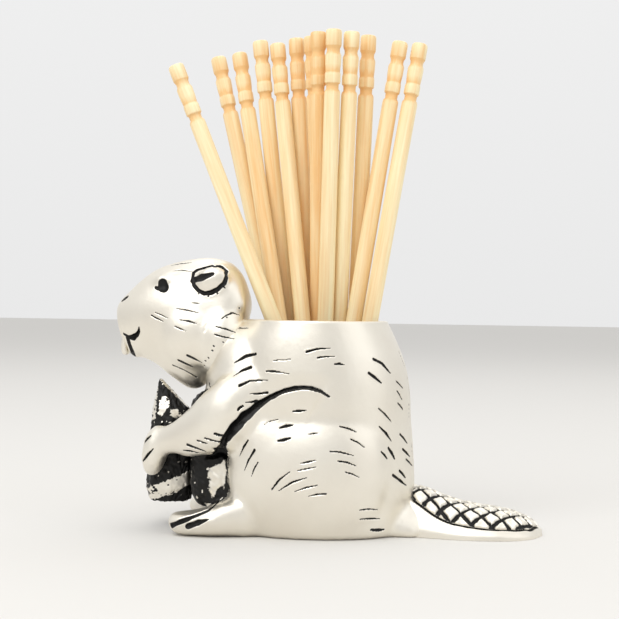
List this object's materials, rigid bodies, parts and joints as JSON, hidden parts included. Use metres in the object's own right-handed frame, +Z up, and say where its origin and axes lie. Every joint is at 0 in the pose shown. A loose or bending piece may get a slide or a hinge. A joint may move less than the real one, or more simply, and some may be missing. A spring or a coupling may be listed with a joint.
{
  "type": "toothpick holder",
  "caption": "Cast metal beaver that holds a gnawed log and has a flat scaly tail; its hollow body is an open cup for turned wooden toothpicks.",
  "frame": {"origin": "point on the flat base below the middle of the cup", "axes": "+Z up along the cup, -X the way the beaver looks, +X to its tail, -Y to its left side"},
  "size_m": [0.0569, 0.0246, 0.0663],
  "materials": {
    "pewter": "polished cast pewter with a dark patina in its recesses",
    "wood": "plain turned softwood"
  },
  "bodies": {
    "figure": {"cup_body": "pewter", "head": "pewter", "left_arm": "pewter", "right_arm": "pewter", "gnawed_log": "pewter", "tail": "pewter"},
    "toothpick_01": {"toothpick_01": "wood"},
    "toothpick_02": {"toothpick_02": "wood"},
    "toothpick_03": {"toothpick_03": "wood"},
    "toothpick_04": {"toothpick_04": "wood"},
    "toothpick_05": {"toothpick_05": "wood"},
    "toothpick_06": {"toothpick_06": "wood"},
    "toothpick_07": {"toothpick_07": "wood"},
    "toothpick_08": {"toothpick_08": "wood"},
    "toothpick_09": {"toothpick_09": "wood"},
    "toothpick_10": {"toothpick_10": "wood"},
    "toothpick_11": {"toothpick_11": "wood"},
    "toothpick_12": {"toothpick_12": "wood"},
    "toothpick_13": {"toothpick_13": "wood"}
  },
  "joints": [
    {"name": "toothpick_01_lift", "type": "slide", "parent": "figure", "child": "toothpick_01", "axis": [-0.3777, 0.034, 0.9253], "range_m": [0, 0.066]},
    {"name": "toothpick_02_lift", "type": "slide", "parent": "figure", "child": "toothpick_02", "axis": [-0.2401, 0.1156, 0.9638], "range_m": [0, 0.066]},
    {"name": "toothpick_03_lift", "type": "slide", "parent": "figure", "child": "toothpick_03", "axis": [-0.1785, 0.1616, 0.9706], "range_m": [0, 0.066]},
    {"name": "toothpick_04_lift", "type": "slide", "parent": "figure", "child": "toothpick_04", "axis": [-0.1148, 0.011, 0.9933], "range_m": [0, 0.066]},
    {"name": "toothpick_05_lift", "type": "slide", "parent": "figure", "child": "toothpick_05", "axis": [-0.1155, 0.1122, 0.9869], "range_m": [0, 0.066]},
    {"name": "toothpick_06_lift", "type": "slide", "parent": "figure", "child": "toothpick_06", "axis": [-0.0542, -0.0223, 0.9983], "range_m": [0, 0.066]},
    {"name": "toothpick_07_lift", "type": "slide", "parent": "figure", "child": "toothpick_07", "axis": [-0.0556, -0.046, 0.9974], "range_m": [0, 0.066]},
    {"name": "toothpick_08_lift", "type": "slide", "parent": "figure", "child": "toothpick_08", "axis": [-0.0059, -0.0692, 0.9976], "range_m": [0, 0.066]},
    {"name": "toothpick_09_lift", "type": "slide", "parent": "figure", "child": "toothpick_09", "axis": [0.019, -0.0577, 0.9982], "range_m": [0, 0.066]},
    {"name": "toothpick_10_lift", "type": "slide", "parent": "figure", "child": "toothpick_10", "axis": [0.0331, -0.0662, 0.9973], "range_m": [0, 0.066]},
    {"name": "toothpick_11_lift", "type": "slide", "parent": "figure", "child": "toothpick_11", "axis": [0.033, -0.0239, 0.9992], "range_m": [0, 0.066]},
    {"name": "toothpick_12_lift", "type": "slide", "parent": "figure", "child": "toothpick_12", "axis": [0.1461, 0.0675, 0.987], "range_m": [0, 0.066]},
    {"name": "toothpick_13_lift", "type": "slide", "parent": "figure", "child": "toothpick_13", "axis": [0.1594, 0.0923, 0.9829], "range_m": [0, 0.066]}
  ]
}
